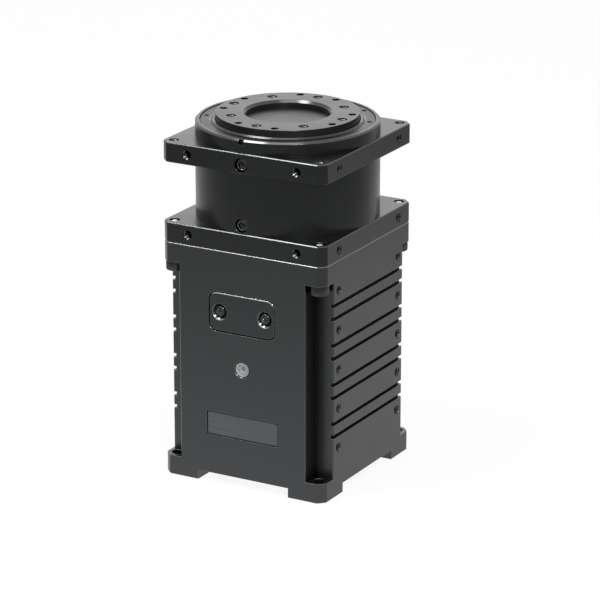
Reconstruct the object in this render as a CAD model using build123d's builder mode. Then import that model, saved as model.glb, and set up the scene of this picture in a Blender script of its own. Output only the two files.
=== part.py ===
from build123d import *
from math import cos, pi, sin
import os

os.makedirs("parts", exist_ok=True)

# A robot joint actuator: a square machined case with the motor and its boards, a round gear
# barrel between two square flanges, and an output horn on top. Millimetres, +Z up, the front
# with the lamp and the access cover towards -Y, the origin under the middle of the base.

# Frame
frame_width = 54.0
frame_chamfer = 2.1
edge_break = 0.25
case_height = 72.0
flange_thickness = 6.0
barrel_height = 18.0
barrel_setback = 0.1
neck_height = 4.0
neck_bevel = 0.5
notch_width = 1.6
notch_depth = 0.7
notch_height = 1.5

# Clearances
slip_gap = 0.05
running_gap = 0.06
gear_clearance = 0.09
cover_gap = 0.15

# Feet and corner recesses of the case
foot_relief = 3.0
foot_width = 11.75
foot_height = 6.0
recess_size = 6.0
recess_roof = 6.0

# Threaded holes of the frame, and the grooves between them
m3_hole = 3.0
foot_hole = 3.6
roof_hole = 3.2
corner_inset = 3.0
side_hole_inset = 9.0
side_hole_depth = 6.0
case_row_first = 15.0
case_row_pitch = 12.0
case_row_margin = 8.5
case_hole_depth = 5.0
groove_width = 1.2
groove_depth = 1.1
groove_offset = 2.0

# Bores of the case and the cover under it
case_wall = 3.5
floor_thickness = 5.0
base_ledge = 3.1
base_cover_corner = 2.0
base_cover_thickness = 2.0

# Front of the case: access cover, lamp and label recess
cover_width = 22.0
cover_height = 12.0
cover_corner = 2.7
cover_thickness = 2.0
cover_above_lamp = 16.6
cover_screw_spacing = 15.0
cover_screw_sink = 1.1
cover_screw_room = 0.5
window_width = 9.0
window_height = 8.0
lamp_rise = 3.2
lamp_diameter = 5.1
lamp_length = 4.2
label_width = 24.0
label_height = 7.3
label_z = 18.65
label_recess = 0.4
label_thickness = 0.25

# Boards
board_room = 4.5
board_edge_gap = 0.2
board_thickness = 1.6
low_standoff = 4.0
high_standoff = 18.4
standoff_radius = 2.3
standoff_wall_gap = 0.5
nut_thickness = 1.6
socket_foot = 0.4
socket_wall = 1.1
socket_depth = 5.0
socket_edge = 0.6
socket_gap = 0.8
socket_width = 5.8
power_socket_length = 10.0
capacitor_diameter = 8.0
capacitor_height = 12.0
transistor_size = 4.5
transistor_gap = 0.5
transistor_inset = 4.0
transistor_height = 1.5
chip_size = 7.0
chip_height = 1.0
chip_inset = 8.5
encoder_chip_size = 4.0
lamp_board_width = 3.0
lamp_board_depth = 1.4

# Motor
can_clearance = 6.4
can_gap = 2.5
can_wall = 3.0
plate_ledge = 0.8
plate_thickness = 5.0
bearing_diameter = 11.0
bearing_width = 3.0
stator_yoke = 2.5
stator_teeth = 6
tooth_width = 4.0
tooth_depth = 5.0
coil_wall = 1.5
coil_depth = 3.6
coil_end_gap = 1.5
air_gap = 0.5
magnet_overhang = 1.0
shaft_diameter = 5.0
rotor_diameter = 6.0
encoder_gap = 1.4
encoder_magnet_diameter = 6.0
encoder_magnet_thickness = 2.0

# Cycloidal gear: the discs have one lobe less than the ring has pins
lobes = 11
ring_pin_diameter = 4.0
ring_wall = 6.5
eccentric_offset = 1.0
disc_thickness = 7.8
disc_floor_gap = 1.2
disc_gap = 0.8
journal_diameter = 8.0
web_diameter = 10.0
pilot_diameter = 7.0
pilot_depth = 3.0
output_pin_count = 4
output_pin_diameter = 4.0
output_pin_inset = 7.4
output_pin_seat = 3.0
pocket_floor = 1.5
carrier_gap = 0.4
carrier_thickness = 3.5
carrier_inset = 3.4
carrier_bore_gap = 0.5
eccentric_inset = 4.6
arcs_per_lobe = 6

# Output: horn, its bearing and the ring that keeps it
neck_wall = 2.5
race_width = 5.0
race_thickness = 2.5
roller_diameter = 3.0
roller_count = 10
shoulder_width = 4.4
retainer_wall = 1.3
retainer_thickness = 2.0
retainer_hole = 1.5
seal_width = 1.2
seal_thickness = 1.7
horn_inset = 0.9
horn_rise = 2.0
horn_thickness = 4.0
horn_band = 8.75
horn_bevel = 0.75
cap_thickness = 2.0
horn_hole = 3.0
horn_hole_depth = 3.4
horn_hole_inset = 3.0
horn_small_hole = 2.3

# Fasteners
bolt_diameter = 3.0
bolt_head_diameter = 5.5
bolt_head_height = 3.0
bolt_hex = 2.5
bolt_end_sink = 0.5
lock_screw_diameter = 4.2
lock_screw_sink = 0.5
lock_screw_socket = 1.2
lock_screw_depth = 3.5
lock_screw_z_below_top = 3.5
lock_screw_z_above_flange = 2.5
small_head_diameter = 3.6
small_head_height = 1.0
small_shank_diameter = 2.0
small_screw_length = 4.5

# Levels, from the floor up
floor_top = foot_relief + floor_thickness
power_board_z = floor_top + low_standoff
power_top = power_board_z + board_thickness
controller_board_z = power_top + high_standoff
controller_top = controller_board_z + board_thickness
lamp_z = controller_top + lamp_rise
cover_z = lamp_z + cover_above_lamp
can_bottom = controller_top + can_clearance
plate_bottom = case_height - plate_thickness
recess_top = case_height - recess_roof
barrel_bottom = case_height + flange_thickness
upper_bottom = barrel_bottom + barrel_height
upper_top = upper_bottom + flange_thickness
neck_top = upper_top + neck_height
horn_top = neck_top + horn_rise
horn_bottom = horn_top - horn_thickness
retainer_bottom = neck_top - retainer_thickness
race_bottom = retainer_bottom - race_width
pocket_bottom = case_height + pocket_floor
carrier_bottom = pocket_bottom + carrier_gap
lower_disc_z = barrel_bottom + disc_floor_gap
upper_disc_z = lower_disc_z + disc_thickness + disc_gap
gear_top = upper_disc_z + disc_thickness
lock_level = barrel_bottom + lock_screw_z_above_flange

# Widths of the frame, from the outside in
half = frame_width / 2
corner_spacing = frame_width - 2 * corner_inset
side_hole_spacing = frame_width - 2 * side_hole_inset
foot_spacing = frame_width - 2 * foot_width
base_cover_width = foot_spacing - 2 * cover_gap
base_window = base_cover_width - 2 * base_ledge
base_screw_spacing = base_window + base_ledge
data_socket_length = (base_window - 2 * socket_edge - socket_gap) / 2
socket_spacing = data_socket_length + socket_gap
socket_offset = (base_window - socket_width) / 2 - socket_edge
cavity_diameter = frame_width - 2 * case_wall
plate_seat_diameter = cavity_diameter + 2 * plate_ledge
board_width = cavity_diameter - 2 * board_room
board_reach = cavity_diameter / 2 - board_edge_gap
board_cut = board_width / 2 - (board_reach**2 - (board_width / 2) ** 2) ** 0.5
standoff_circle = cavity_diameter - 2 * (standoff_radius + standoff_wall_gap)
transistor_spacing = board_width - 2 * transistor_inset
can_diameter = cavity_diameter - 2 * can_gap
stator_outer = can_diameter - 2 * can_wall
stator_inner = stator_outer - 2 * (stator_yoke + tooth_depth)
magnet_diameter = stator_inner - 2 * air_gap

# Diameters of the barrel and the output, from the outside in
barrel_diameter = frame_width - 2 * barrel_setback
ring_pin_circle = barrel_diameter - 2 * ring_wall
output_pin_circle = ring_pin_circle - 2 * output_pin_inset
eccentric_diameter = output_pin_circle - 2 * eccentric_inset
race_outer = barrel_diameter - 2 * neck_wall
race_inner = race_outer - 2 * race_thickness
hub_diameter = race_inner - 2 * roller_diameter - 2 * slip_gap
shoulder_bore = race_outer - 2 * shoulder_width
horn_diameter = race_inner - 2 * horn_inset
horn_bore = horn_diameter - 2 * horn_band
horn_module = (horn_diameter / 2 - horn_hole_inset) / 3
retainer_outer = barrel_diameter - 2 * retainer_wall
retainer_inner = horn_diameter + 2 * seal_width

# Rows of threaded holes: as many as the case has room for
case_row_count = 1 + int((case_height - case_row_first - case_row_margin) / case_row_pitch)
case_rows = [case_row_first + case_row_pitch * i for i in range(case_row_count)]
front_turns = 3


def square_frame():
    """The square outline of the case and flanges, with its corners cut."""
    outline = Rectangle(frame_width, frame_width)
    chamfer(outline.vertices(), frame_chamfer)


def side_plane(turn, level, distance=half):
    """A plane facing out of one side of the frame: 0 is +X, 1 is +Y, 2 is -X, 3 is -Y."""
    out = Vector(1, 0, 0).rotate(Axis.Z, 90 * turn)
    along = Vector(0, 1, 0).rotate(Axis.Z, 90 * turn)
    return Plane(out * distance + Vector(0, 0, level), x_dir=along, z_dir=out)


def finish(piece, name):
    """Names a finished piece and writes it."""
    piece.part.label = name
    export_step(piece.part, f"parts/{name}.step")


# Motor case: one block, milled on four feet, with stepped corners that leave room for the bolts
with BuildPart() as motor_case:
    with BuildSketch():
        square_frame()
    extrude(amount=case_height)
    chamfer(motor_case.edges(), edge_break)
    # underside between the feet
    with BuildSketch():
        Rectangle(frame_width, foot_spacing)
        Rectangle(foot_spacing, frame_width)
    extrude(amount=foot_relief, mode=Mode.SUBTRACT)
    # corner recesses with their long edges broken, then holes through the feet and the roofs
    with BuildSketch(Plane.XY.offset(foot_height)):
        with GridLocations(frame_width - recess_size, frame_width - recess_size, 2, 2):
            Rectangle(recess_size, recess_size)
    extrude(amount=recess_top - foot_height, mode=Mode.SUBTRACT)
    tall_edges = motor_case.edges().filter_by(Axis.Z).group_by(Edge.length)[-1]
    chamfer(tall_edges.group_by(SortBy.DISTANCE)[-1], edge_break)
    for low, high, hole in ((0, foot_height, foot_hole), (recess_top, case_height, roof_hole)):
        with BuildSketch(Plane.XY.offset(low)):
            with GridLocations(corner_spacing, corner_spacing, 2, 2):
                Circle(hole / 2)
        extrude(amount=high - low, mode=Mode.SUBTRACT)
    # cavity, with the seat of the motor plate at its mouth
    with BuildSketch(Plane.XY.offset(floor_top)):
        Circle(cavity_diameter / 2)
    extrude(amount=case_height - floor_top, mode=Mode.SUBTRACT)
    with BuildSketch(Plane.XY.offset(plate_bottom)):
        Circle(plate_seat_diameter / 2)
    extrude(amount=plate_thickness, mode=Mode.SUBTRACT)
    # window in the floor for the sockets, the seat of its cover, and the cover's screw holes
    with BuildSketch(Plane.XY.offset(foot_relief)):
        Rectangle(base_window, base_window)
        with GridLocations(base_screw_spacing, 0, 2, 1):
            Circle(small_shank_diameter / 2)
    extrude(amount=floor_top - foot_relief, mode=Mode.SUBTRACT)
    with BuildSketch(Plane.XY.offset(foot_relief)):
        seat_width = base_cover_width + 2 * slip_gap
        RectangleRounded(seat_width, seat_width, base_cover_corner + slip_gap)
    extrude(amount=base_cover_thickness, mode=Mode.SUBTRACT)
    # rows of threaded holes and pairs of grooves on the two broad sides
    for turn in (0, 2):
        for row in case_rows:
            with BuildSketch(side_plane(turn, row)):
                with GridLocations(side_hole_spacing, 0, 2, 1):
                    Circle(m3_hole / 2)
            extrude(amount=-case_hole_depth, mode=Mode.SUBTRACT)
        for row in case_rows[:-1]:
            for shift in (-groove_offset, groove_offset):
                with BuildSketch(side_plane(turn, row + case_row_pitch / 2 + shift)):
                    Rectangle(frame_width, groove_width)
                extrude(amount=-groove_depth, mode=Mode.SUBTRACT)
    # front: seat, window and screw holes of the access cover, lamp hole and label recess
    with BuildSketch(side_plane(front_turns, cover_z)):
        RectangleRounded(
            cover_width + 2 * cover_gap, cover_height + 2 * cover_gap, cover_corner + cover_gap
        )
    extrude(amount=-cover_thickness, mode=Mode.SUBTRACT)
    with BuildSketch(side_plane(front_turns, cover_z)):
        Rectangle(window_width, window_height)
        with GridLocations(cover_screw_spacing, 0, 2, 1):
            Circle(small_shank_diameter / 2)
    with BuildSketch(side_plane(front_turns, lamp_z)):
        Circle(lamp_diameter / 2 + slip_gap)
    extrude(amount=-half / 2, mode=Mode.SUBTRACT)
    with BuildSketch(side_plane(front_turns, label_z)):
        Rectangle(label_width, label_height)
    extrude(amount=-label_recess, mode=Mode.SUBTRACT)
finish(motor_case, "motor_case")

# Flanges: the lower one closes the case, the upper one carries the output bearing in its neck
with BuildPart() as lower_flange:
    with BuildSketch(Plane.XY.offset(case_height)):
        square_frame()
    extrude(amount=flange_thickness)
    chamfer(lower_flange.edges(), edge_break)
    with BuildSketch(Plane.XY.offset(case_height)):
        Circle(journal_diameter / 2 + 2 * slip_gap)
        with GridLocations(corner_spacing, corner_spacing, 2, 2):
            Circle(bolt_diameter / 2 + slip_gap)
    extrude(amount=flange_thickness, mode=Mode.SUBTRACT)
    # pocket for the plate that ties the output pins together below the discs
    with BuildSketch(Plane.XY.offset(pocket_bottom)):
        Circle(ring_pin_circle / 2 + slip_gap)
    extrude(amount=barrel_bottom - pocket_bottom, mode=Mode.SUBTRACT)
    for turn in range(4):
        with BuildSketch(side_plane(turn, case_height + flange_thickness / 2)):
            with GridLocations(side_hole_spacing, 0, 2, 1):
                Circle(m3_hole / 2)
        extrude(amount=-side_hole_depth, mode=Mode.SUBTRACT)
finish(lower_flange, "lower_flange")

with BuildPart() as bearing_housing:
    with BuildSketch(Plane.XY.offset(upper_bottom)):
        square_frame()
    extrude(amount=flange_thickness)
    chamfer(bearing_housing.edges(), edge_break)
    with BuildSketch(Plane.XY.offset(upper_bottom)):
        with GridLocations(corner_spacing, corner_spacing, 2, 2):
            Circle(m3_hole / 2)
    extrude(amount=flange_thickness, mode=Mode.SUBTRACT)
    with BuildSketch(Plane.XY.offset(upper_top)):
        Circle(barrel_diameter / 2)
    extrude(amount=neck_height)
    chamfer(bearing_housing.edges().filter_by(GeomType.CIRCLE).sort_by(Axis.Z)[-1], neck_bevel)
    # index notch in the front of the neck's rim
    with BuildSketch(side_plane(front_turns, neck_top, barrel_diameter / 2)):
        Rectangle(notch_width, 2 * notch_height)
    extrude(amount=-notch_depth, mode=Mode.SUBTRACT)
    for level, depth, bore in (
        (upper_bottom, neck_top - upper_bottom, shoulder_bore),
        (race_bottom, neck_top - race_bottom, race_outer),
        (retainer_bottom, retainer_thickness, retainer_outer),
    ):
        with BuildSketch(Plane.XY.offset(level)):
            Circle(bore / 2)
        extrude(amount=depth, mode=Mode.SUBTRACT)
    for turn in range(4):
        with BuildSketch(side_plane(turn, upper_bottom + flange_thickness / 2)):
            with GridLocations(side_hole_spacing, 0, 2, 1):
                Circle(m3_hole / 2)
        extrude(amount=-side_hole_depth, mode=Mode.SUBTRACT)
    with BuildSketch(side_plane(front_turns, upper_top - lock_screw_z_below_top)):
        Circle(lock_screw_diameter / 2 + slip_gap)
    extrude(amount=-(half - race_inner / 2), mode=Mode.SUBTRACT)
finish(bearing_housing, "bearing_housing")

# Gear barrel: a turned sleeve with the ring's pins standing out of its bore as round ribs
with BuildPart() as gear_housing:
    with BuildSketch(Plane.XY.offset(barrel_bottom)):
        Circle(barrel_diameter / 2)
        Circle(ring_pin_circle / 2 + slip_gap, mode=Mode.SUBTRACT)
        with PolarLocations(ring_pin_circle / 2, lobes + 1):
            Circle(ring_pin_diameter / 2)
    extrude(amount=barrel_height)
    with BuildSketch(side_plane(front_turns, lock_level, barrel_diameter / 2)):
        Circle(lock_screw_diameter / 2 + slip_gap)
    extrude(amount=-lock_screw_depth, mode=Mode.SUBTRACT)
finish(gear_housing, "gear_housing")


def cycloid_point(angle):
    """A point on a disc's edge, a pin radius and a running gap inside the path of a ring pin."""
    pins = lobes + 1
    radius = ring_pin_circle / 2
    path_x = radius * cos(angle) - eccentric_offset * cos(pins * angle)
    path_y = radius * sin(angle) - eccentric_offset * sin(pins * angle)
    slope_x = -radius * sin(angle) + eccentric_offset * pins * sin(pins * angle)
    slope_y = radius * cos(angle) - eccentric_offset * pins * cos(pins * angle)
    length = (slope_x**2 + slope_y**2) ** 0.5
    inset = ring_pin_diameter / 2 + gear_clearance
    return (path_x - inset * slope_y / length, path_y + inset * slope_x / length)


# Cycloid discs: the upper one is half a turn ahead on the shaft, so its lobes are turned by
# half a lobe, and both are pierced for the output pins with room for their throw
arc_count = lobes * arcs_per_lobe
half_arc = pi / arc_count
for name, level, side in (
    ("cycloid_disc_lower", lower_disc_z, 1),
    ("cycloid_disc_upper", upper_disc_z, -1),
):
    lobe_turn = 0 if side > 0 else -180 / lobes
    with BuildPart() as disc:
        with BuildSketch(Plane((side * eccentric_offset, 0, level)).rotated((0, 0, lobe_turn))):
            with BuildLine():
                for i in range(arc_count):
                    ThreePointArc(*[cycloid_point((2 * i + k) * half_arc) for k in range(3)])
            make_face()
            Circle(eccentric_diameter / 2 + running_gap, mode=Mode.SUBTRACT)
            with PolarLocations(output_pin_circle / 2, output_pin_count, start_angle=-lobe_turn):
                Circle(output_pin_diameter / 2 + eccentric_offset + gear_clearance, mode=Mode.SUBTRACT)
        extrude(amount=disc_thickness)
    finish(disc, name)

# Input shaft: one turned piece from the encoder magnet to its pilot in the horn, with the two
# eccentrics that throw the discs
shaft_tail = controller_board_z + board_thickness + chip_height + encoder_gap
magnet_top = shaft_tail + encoder_magnet_thickness
rotor_low = can_bottom + bearing_width + slip_gap
rotor_high = plate_bottom - slip_gap
journal_low = plate_bottom + bearing_width + slip_gap
with BuildPart() as input_shaft:
    for low, high, diameter, shift in (
        (magnet_top, rotor_low, shaft_diameter, 0),
        (rotor_low, rotor_high, rotor_diameter, 0),
        (rotor_high, journal_low, shaft_diameter, 0),
        (journal_low, lower_disc_z, journal_diameter, 0),
        (lower_disc_z, lower_disc_z + disc_thickness, eccentric_diameter, eccentric_offset),
        (lower_disc_z + disc_thickness, upper_disc_z, web_diameter, 0),
        (upper_disc_z, gear_top, eccentric_diameter, -eccentric_offset),
        (gear_top, race_bottom + pilot_depth - slip_gap, pilot_diameter, 0),
    ):
        with BuildSketch(Plane((shift, 0, low))):
            Circle(diameter / 2)
        extrude(amount=high - low)
finish(input_shaft, "input_shaft")

with BuildPart() as encoder_magnet:
    with BuildSketch(Plane.XY.offset(shaft_tail)):
        Circle(encoder_magnet_diameter / 2)
    extrude(amount=encoder_magnet_thickness)
finish(encoder_magnet, "encoder_magnet")

# Motor: a can with the stator in it, hung under the plate that the lower flange clamps
stack_room = plate_bottom - can_bottom - bearing_width
stator_length = stack_room - 2 * (coil_wall + coil_end_gap)
stator_z = (can_bottom + bearing_width + plate_bottom - stator_length) / 2
with BuildPart() as motor_can:
    with BuildSketch(Plane.XY.offset(can_bottom)):
        Circle(can_diameter / 2)
        Circle(bearing_diameter / 2, mode=Mode.SUBTRACT)
    extrude(amount=plate_bottom - can_bottom)
    with BuildSketch(Plane.XY.offset(can_bottom + bearing_width)):
        Circle(stator_outer / 2)
    extrude(amount=plate_bottom - can_bottom, mode=Mode.SUBTRACT)
finish(motor_can, "motor_can")

with BuildPart() as motor_plate:
    with BuildSketch(Plane.XY.offset(plate_bottom)):
        Circle(plate_seat_diameter / 2 - slip_gap)
        Circle(bearing_diameter / 2, mode=Mode.SUBTRACT)
    extrude(amount=plate_thickness)
finish(motor_plate, "motor_plate")

with BuildPart() as motor_bearings:
    for level in (can_bottom, plate_bottom):
        with BuildSketch(Plane.XY.offset(level)):
            Circle(bearing_diameter / 2)
            Circle(shaft_diameter / 2 + slip_gap, mode=Mode.SUBTRACT)
        extrude(amount=bearing_width)
finish(motor_bearings, "motor_bearings")

with BuildPart() as stator_core:
    with BuildSketch(Plane.XY.offset(stator_z)):
        Circle(stator_outer / 2)
        Circle(stator_outer / 2 - stator_yoke, mode=Mode.SUBTRACT)
        tooth_length = (stator_outer - stator_inner) / 2 - stator_yoke / 2
        with PolarLocations(stator_inner / 2 + tooth_length / 2, stator_teeth):
            Rectangle(tooth_length, tooth_width)
    extrude(amount=stator_length)
finish(stator_core, "stator_core")

with BuildPart() as stator_coils:
    coil_width = tooth_width + 2 * coil_wall
    yoke_inner = stator_outer / 2 - stator_yoke
    coil_reach = (yoke_inner**2 - (coil_width / 2) ** 2) ** 0.5 - slip_gap
    with Locations((0, 0, stator_z + stator_length / 2)):
        with PolarLocations(coil_reach - coil_depth / 2, stator_teeth):
            Box(coil_depth, coil_width, stator_length + 2 * coil_wall)
            Box(coil_depth, tooth_width, stator_length, mode=Mode.SUBTRACT)
finish(stator_coils, "stator_coils")

with BuildPart() as rotor_magnet:
    with BuildSketch(Plane.XY.offset(stator_z - magnet_overhang)):
        Circle(magnet_diameter / 2)
        Circle(rotor_diameter / 2, mode=Mode.SUBTRACT)
    extrude(amount=stator_length + 2 * magnet_overhang)
finish(rotor_magnet, "rotor_magnet")

# Boards: two cut squares on hexagon standoffs, the lower one with the sockets and power stage
for name, level in (
    ("power_board", power_board_z),
    ("controller_board", controller_board_z),
):
    with BuildPart() as board:
        with BuildSketch(Plane.XY.offset(level)):
            outline = Rectangle(board_width, board_width)
            chamfer(outline.vertices(), board_cut)
        extrude(amount=board_thickness)
    finish(board, name)

with BuildPart() as board_standoffs:
    for low, high in (
        (floor_top, power_board_z),
        (power_board_z + board_thickness, controller_board_z),
    ):
        with BuildSketch(Plane.XY.offset(low)):
            with PolarLocations(standoff_circle / 2, 4, start_angle=45):
                RegularPolygon(standoff_radius, 6)
        extrude(amount=high - low)
finish(board_standoffs, "board_standoffs")

with BuildPart() as board_nuts:
    with BuildSketch(Plane.XY.offset(controller_top)):
        with PolarLocations(standoff_circle / 2, 4, start_angle=45):
            RegularPolygon(standoff_radius, 6)
    extrude(amount=nut_thickness)
finish(board_nuts, "board_nuts")

with BuildPart() as capacitors:
    with BuildSketch(Plane.XY.offset(power_top)):
        with GridLocations(capacitor_diameter + 2 * slip_gap, 0, 2, 1):
            Circle(capacitor_diameter / 2)
    extrude(amount=capacitor_height)
finish(capacitors, "capacitors")

with BuildPart() as power_transistors:
    with BuildSketch(Plane.XY.offset(power_top)):
        with GridLocations(transistor_size + transistor_gap, transistor_spacing, 3, 2):
            Rectangle(transistor_size, transistor_size)
    extrude(amount=transistor_height)
finish(power_transistors, "power_transistors")

with BuildPart() as controller_chip:
    with BuildSketch(Plane.XY.offset(controller_top)):
        with Locations((0, board_width / 2 - chip_inset)):
            Rectangle(chip_size, chip_size)
    extrude(amount=chip_height)
finish(controller_chip, "controller_chip")

with BuildPart() as encoder_chip:
    with BuildSketch(Plane.XY.offset(controller_top)):
        Rectangle(encoder_chip_size, encoder_chip_size)
    extrude(amount=chip_height)
finish(encoder_chip, "encoder_chip")

with BuildPart() as status_led:
    led_y = -board_width / 2 + lamp_board_depth / 2
    with BuildSketch(Plane.XY.offset(controller_top)):
        with Locations((0, led_y)):
            Rectangle(lamp_board_width, lamp_board_depth)
    extrude(amount=lamp_z + lamp_board_width / 2 - controller_top)
finish(status_led, "status_led")


def socket_block(length, width):
    """A socket hung under the power board, open downwards, at the current location."""
    height = power_board_z - foot_relief - socket_foot
    Box(length, width, height, align=(Align.CENTER, Align.CENTER, Align.MIN))
    Box(
        length - 2 * socket_wall,
        width - 2 * socket_wall,
        socket_depth,
        align=(Align.CENTER, Align.CENTER, Align.MIN),
        mode=Mode.SUBTRACT,
    )


socket_z = foot_relief + socket_foot
with BuildPart() as data_sockets:
    with Locations((0, -socket_offset, socket_z)):
        with GridLocations(socket_spacing, 0, 2, 1):
            socket_block(data_socket_length, socket_width)
finish(data_sockets, "data_sockets")

with BuildPart() as power_socket:
    with Locations((0, socket_offset, socket_z)):
        socket_block(power_socket_length, socket_width)
finish(power_socket, "power_socket")

# Base cover: a plate let into the underside, cut out round the sockets
with BuildPart() as base_cover:
    with BuildSketch(Plane.XY.offset(foot_relief)):
        RectangleRounded(base_cover_width, base_cover_width, base_cover_corner)
        for side, length in ((-1, socket_spacing + data_socket_length), (1, power_socket_length)):
            with Locations((0, side * socket_offset)):
                Rectangle(length + 4 * slip_gap, socket_width + 4 * slip_gap, mode=Mode.SUBTRACT)
        with GridLocations(base_screw_spacing, 0, 2, 1):
            Circle(small_shank_diameter / 2 + slip_gap, mode=Mode.SUBTRACT)
    extrude(amount=base_cover_thickness)
finish(base_cover, "base_cover")

# Access cover: let into the front, its two screws sunk in it
with BuildPart() as access_cover:
    with BuildSketch(side_plane(front_turns, cover_z)):
        RectangleRounded(cover_width, cover_height, cover_corner)
    extrude(amount=-cover_thickness)
    with BuildSketch(side_plane(front_turns, cover_z)):
        with GridLocations(cover_screw_spacing, 0, 2, 1):
            Circle(small_head_diameter / 2 + cover_screw_room)
    extrude(amount=-cover_screw_sink, mode=Mode.SUBTRACT)
    with BuildSketch(side_plane(front_turns, cover_z)):
        with GridLocations(cover_screw_spacing, 0, 2, 1):
            Circle(small_shank_diameter / 2 + slip_gap)
    extrude(amount=-cover_thickness, mode=Mode.SUBTRACT)
finish(access_cover, "access_cover")

with BuildPart() as cover_screws:
    head_seat = half - cover_screw_sink
    with BuildSketch(side_plane(front_turns, cover_z, head_seat)):
        with GridLocations(cover_screw_spacing, 0, 2, 1):
            Circle(small_head_diameter / 2)
    extrude(amount=small_head_height)
    with BuildSketch(side_plane(front_turns, cover_z, head_seat)):
        with GridLocations(cover_screw_spacing, 0, 2, 1):
            Circle(small_shank_diameter / 2)
    extrude(amount=-(small_screw_length - small_head_height))
finish(cover_screws, "cover_screws")

with BuildPart() as lamp_lens:
    with BuildSketch(side_plane(front_turns, lamp_z)):
        Circle(lamp_diameter / 2)
    extrude(amount=-lamp_length)
finish(lamp_lens, "lamp_lens")

with BuildPart() as label_plate:
    with BuildSketch(side_plane(front_turns, label_z, half - label_recess)):
        Rectangle(label_width - 2 * cover_gap, label_height - 2 * cover_gap)
    extrude(amount=label_thickness)
finish(label_plate, "label_plate")

# Output bearing: a ring in the neck, rollers, and the horn's hub as the inner track
with BuildPart() as bearing_race:
    with BuildSketch(Plane.XY.offset(race_bottom)):
        Circle(race_outer / 2)
        Circle(race_inner / 2, mode=Mode.SUBTRACT)
    extrude(amount=race_width)
finish(bearing_race, "bearing_race")

with BuildPart() as bearing_rollers:
    with BuildSketch(Plane.XY.offset(race_bottom + slip_gap)):
        with PolarLocations((race_inner - roller_diameter) / 2 - slip_gap / 2, roller_count):
            Circle(roller_diameter / 2)
    extrude(amount=race_width - 2 * slip_gap)
finish(bearing_rollers, "bearing_rollers")

with BuildPart() as bearing_retainer:
    with BuildSketch(Plane.XY.offset(retainer_bottom)):
        Circle(retainer_outer / 2 - slip_gap)
        Circle(retainer_inner / 2, mode=Mode.SUBTRACT)
    extrude(amount=retainer_thickness)
    with BuildSketch(Plane.XY.offset(neck_top)):
        for angle in (20.5, 50.5, 200.5):
            with PolarLocations((retainer_outer + retainer_inner) / 4, 1, start_angle=angle):
                Circle(retainer_hole / 2)
    extrude(amount=-retainer_thickness / 2, mode=Mode.SUBTRACT)
finish(bearing_retainer, "bearing_retainer")

with BuildPart() as output_seal:
    with BuildSketch(Plane.XY.offset(retainer_bottom)):
        Circle(retainer_inner / 2)
        Circle(horn_diameter / 2 + running_gap, mode=Mode.SUBTRACT)
    extrude(amount=seal_thickness)
finish(output_seal, "output_seal")

# Horn: the threaded face that turns, on the hub that holds the output pins
with BuildPart() as output_horn:
    with BuildSketch(Plane.XY.offset(horn_bottom)):
        Circle(horn_diameter / 2)
    extrude(amount=horn_thickness)
    with BuildSketch(Plane.XY.offset(race_bottom)):
        Circle(hub_diameter / 2)
    extrude(amount=race_width)
    with BuildSketch(Plane.XY.offset(horn_bottom)):
        Circle(horn_bore / 2)
    extrude(amount=horn_thickness, mode=Mode.SUBTRACT)
    chamfer(
        output_horn.edges().filter_by(GeomType.CIRCLE).group_by(Axis.Z)[-1].sort_by(SortBy.RADIUS)[0],
        horn_bevel,
    )
    with BuildSketch(Plane.XY.offset(horn_top)):
        for x, y in (
            (3 * horn_module, 0),
            (0, 3 * horn_module),
            (-3 * horn_module, 0),
            (0, -3 * horn_module),
        ):
            with Locations((x, y)):
                Circle(horn_hole / 2)
        with GridLocations(4 * horn_module, 4 * horn_module, 2, 2):
            Circle(horn_hole / 2)
        with GridLocations(6 * horn_module, 2 * horn_module, 2, 2):
            Circle(horn_small_hole / 2)
        with GridLocations(2 * horn_module, 6 * horn_module, 2, 2):
            Circle(horn_small_hole / 2)
    extrude(amount=-horn_hole_depth, mode=Mode.SUBTRACT)
    with BuildSketch(Plane.XY.offset(race_bottom)):
        Circle(pilot_diameter / 2 + running_gap)
        with PolarLocations(output_pin_circle / 2, output_pin_count):
            Circle(output_pin_diameter / 2)
    extrude(amount=output_pin_seat, mode=Mode.SUBTRACT)
finish(output_horn, "output_horn")

with BuildPart() as horn_cap:
    with BuildSketch(Plane.XY.offset(horn_bottom)):
        Circle(horn_bore / 2 - slip_gap)
    extrude(amount=cap_thickness)
finish(horn_cap, "horn_cap")

with BuildPart() as output_pins:
    with BuildSketch(Plane.XY.offset(carrier_bottom)):
        with PolarLocations(output_pin_circle / 2, output_pin_count):
            Circle(output_pin_diameter / 2)
    extrude(amount=race_bottom + output_pin_seat - carrier_bottom)
finish(output_pins, "output_pins")

with BuildPart() as pin_carrier:
    with BuildSketch(Plane.XY.offset(carrier_bottom)):
        Circle(ring_pin_circle / 2 - carrier_inset)
        Circle(journal_diameter / 2 + carrier_bore_gap, mode=Mode.SUBTRACT)
        with PolarLocations(output_pin_circle / 2, output_pin_count):
            Circle(output_pin_diameter / 2, mode=Mode.SUBTRACT)
    extrude(amount=carrier_thickness)
finish(pin_carrier, "pin_carrier")

# Fasteners
with BuildPart() as corner_bolts:
    with BuildSketch(Plane.XY.offset(recess_top)):
        with GridLocations(corner_spacing, corner_spacing, 2, 2):
            Circle(bolt_diameter / 2)
    extrude(amount=recess_roof + flange_thickness - bolt_end_sink)
    with BuildSketch(Plane.XY.offset(recess_top - bolt_head_height)):
        with GridLocations(corner_spacing, corner_spacing, 2, 2):
            Circle(bolt_head_diameter / 2)
    extrude(amount=bolt_head_height)
    with BuildSketch(Plane.XY.offset(recess_top - bolt_head_height)):
        with GridLocations(corner_spacing, corner_spacing, 2, 2):
            RegularPolygon(bolt_hex / 2, 6, major_radius=False)
    extrude(amount=bolt_head_height / 2, mode=Mode.SUBTRACT)
finish(corner_bolts, "corner_bolts")

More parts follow.
